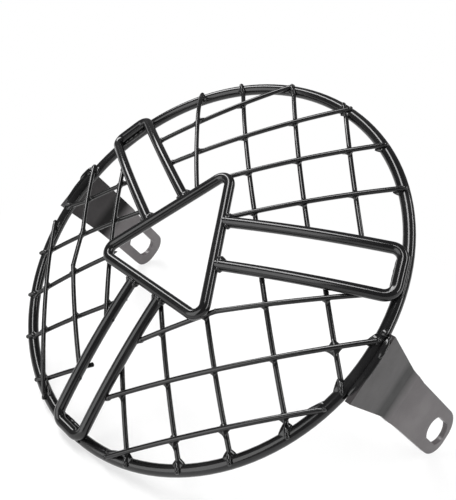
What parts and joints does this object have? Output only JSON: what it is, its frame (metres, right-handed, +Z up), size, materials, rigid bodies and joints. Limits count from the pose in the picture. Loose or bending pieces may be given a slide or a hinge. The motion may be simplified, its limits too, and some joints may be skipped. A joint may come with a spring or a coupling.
{
  "type": "motorcycle headlight guard",
  "caption": "Round domed wire-mesh guard that is bolted over a motorcycle's headlight by two slotted side brackets.",
  "frame": {"origin": "centre of the ring, on the plane of its rod", "axes": "as installed: front of the guard towards -Y, the brackets run back towards +Y, +Z up, +X to the right as seen from the front"},
  "size_m": [0.2239, 0.1136, 0.1992],
  "materials": {
    "rod_paint": "gloss black",
    "bracket_paint": "satin black"
  },
  "bodies": {
    "root": {"outer_ring": "rod_paint", "triangle_frame": "rod_paint", "right_loop": "rod_paint", "left_loop": "rod_paint", "bottom_loop": "rod_paint", "right_bracket": "bracket_paint", "left_bracket": "bracket_paint", "left_wire_a1": "rod_paint", "left_wire_a2": "rod_paint", "left_wire_a3": "rod_paint", "left_wire_b2": "rod_paint", "left_wire_b3": "rod_paint", "left_wire_b4": "rod_paint", "left_wire_b5": "rod_paint", "left_wire_b6": "rod_paint", "top_wire_a5": "rod_paint", "top_wire_a6": "rod_paint", "top_wire_a7": "rod_paint", "top_wire_a8": "rod_paint", "top_wire_b1": "rod_paint", "top_wire_b2": "rod_paint", "top_wire_b3": "rod_paint", "top_wire_b4": "rod_paint", "right_wire_a3": "rod_paint", "right_wire_a4": "rod_paint", "right_wire_a5": "rod_paint", "right_wire_a6": "rod_paint", "right_wire_a7": "rod_paint", "right_wire_b6": "rod_paint", "right_wire_b7": "rod_paint", "right_wire_b8": "rod_paint"}
  },
  "joints": []
}
